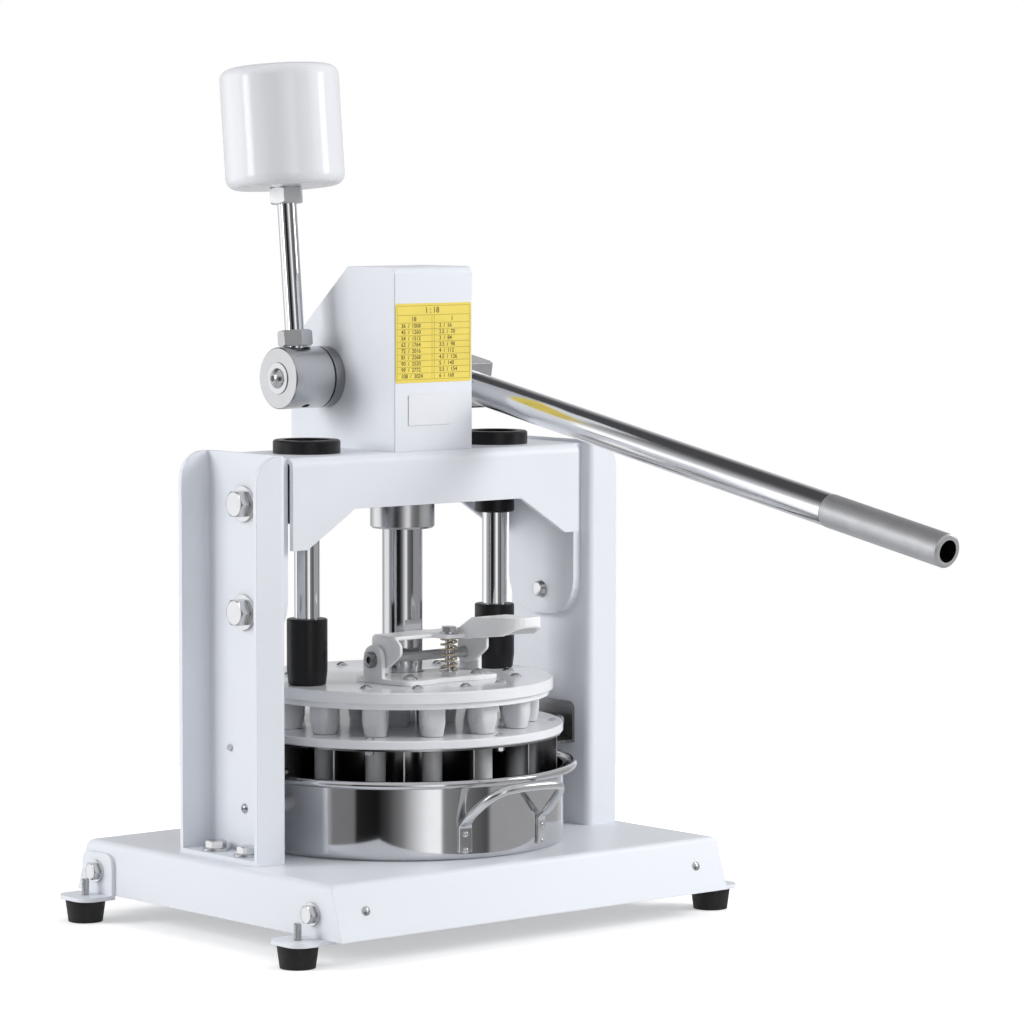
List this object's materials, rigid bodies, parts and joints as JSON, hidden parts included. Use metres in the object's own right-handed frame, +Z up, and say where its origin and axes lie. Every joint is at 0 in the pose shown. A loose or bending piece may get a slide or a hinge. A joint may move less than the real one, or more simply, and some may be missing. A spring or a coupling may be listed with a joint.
{
  "type": "dough divider",
  "caption": "Hand-lever bench dough divider: a rack-driven knife ram and a latched press disc over a round pan, between channel columns on a flared base.",
  "frame": {"origin": "on the bench, under the ram's axis", "axes": "+X to the right seen from the front, +Y to the back, +Z up along the ram"},
  "size_m": [0.566, 0.8783, 0.8472],
  "materials": {
    "white_coat": "white powder coat, soft gloss",
    "gloss_white": "glossy white enamel",
    "satin_white": "satin white coat",
    "zinc_hardware": "bright zinc plated",
    "steel": "oiled machined steel",
    "stainless_sheet": "polished stainless sheet",
    "hard_chrome": "hard chrome plated",
    "turned_aluminium": "fine turned",
    "satin_grip": "fine knurled, satin",
    "black_nylon": "satin black",
    "white_nylon": "natural nylon, slightly translucent",
    "black_rubber": "matte",
    "gold_zinc": "gold passivated spring wire"
  },
  "bodies": {
    "frame": {"base_tray": "white_coat", "front_rivets": "zinc_hardware", "front_foot_brackets": "white_coat", "rear_foot_brackets": "white_coat", "foot_bracket_bolts": "zinc_hardware", "rubber_feet": "black_rubber", "foot_studs": "zinc_hardware", "left_column": "white_coat", "right_column": "white_coat", "column_base_bolts": "zinc_hardware", "head_bridge": "white_coat", "head_bolts": "zinc_hardware", "gear_housing": "white_coat", "ram_guide_bush": "steel", "left_guide_bush": "black_nylon", "right_guide_bush": "black_nylon", "left_shaft_bearing": "steel", "right_shaft_bearing": "steel", "left_pan_clamp": "stainless_sheet", "right_pan_clamp": "stainless_sheet", "pan_clamp_screws": "zinc_hardware", "pan_side_guides": "white_nylon", "dough_pan": "stainless_sheet", "pan_handle": "stainless_sheet", "pan_handle_rivets": "stainless_sheet"},
    "lever": {"lever_shaft": "steel", "pinion": "steel", "pinion_key": "steel", "counterweight_hub": "turned_aluminium", "hub_end_washer": "zinc_hardware", "hub_end_screw": "zinc_hardware", "counterweight_rod": "hard_chrome", "rod_lock_nuts": "zinc_hardware", "counterweight": "gloss_white", "handle_block": "hard_chrome", "handle_tube": "hard_chrome", "handle_grip": "satin_grip", "hub_set_screws": "steel"},
    "ram": {"ram": "hard_chrome", "knife_carrier": "satin_white", "knife_plate": "stainless_sheet", "radial_knives": "stainless_sheet", "ring_knife": "stainless_sheet", "cross_knives": "stainless_sheet", "knife_plate_bolts": "zinc_hardware", "ram_screw": "zinc_hardware"},
    "press": {"press_disc": "satin_white", "press_backing": "satin_white", "press_posts": "white_nylon", "press_pads": "white_nylon", "disc_screws": "zinc_hardware", "pad_screws": "zinc_hardware", "guide_rods": "hard_chrome", "guide_sleeves": "black_nylon", "latch_bracket": "satin_white", "latch_bracket_bolts": "zinc_hardware", "latch_pin": "steel", "latch_spring_bolt": "zinc_hardware", "latch_spring": "gold_zinc"},
    "latch": {"latch_lever": "satin_white"}
  },
  "joints": [
    {"name": "lever_turn", "type": "hinge", "parent": "frame", "child": "lever", "pos_m": [0, 0.059, 0.537], "axis": [-1, 0, 0], "range_deg": [0, 109]},
    {"name": "ram_slide", "type": "slide", "parent": "frame", "child": "ram", "axis": [0, 0, 1], "range_m": [0, 0.08]},
    {"name": "press_float", "type": "slide", "parent": "ram", "child": "press", "axis": [0, 0, 1], "range_m": [0, 0.008]},
    {"name": "latch_tip", "type": "hinge", "parent": "press", "child": "latch", "pos_m": [0, -0.032, 0.263], "axis": [1, 0, 0], "range_deg": [0, 10], "stiffness_Nm_per_rad": 3, "springref_deg": -20.05, "deforming": ["latch_spring"]}
  ],
  "couplings": [
    {"joint": "ram_slide", "follows": "lever_turn", "m_per_rad": 0.042}
  ]
}
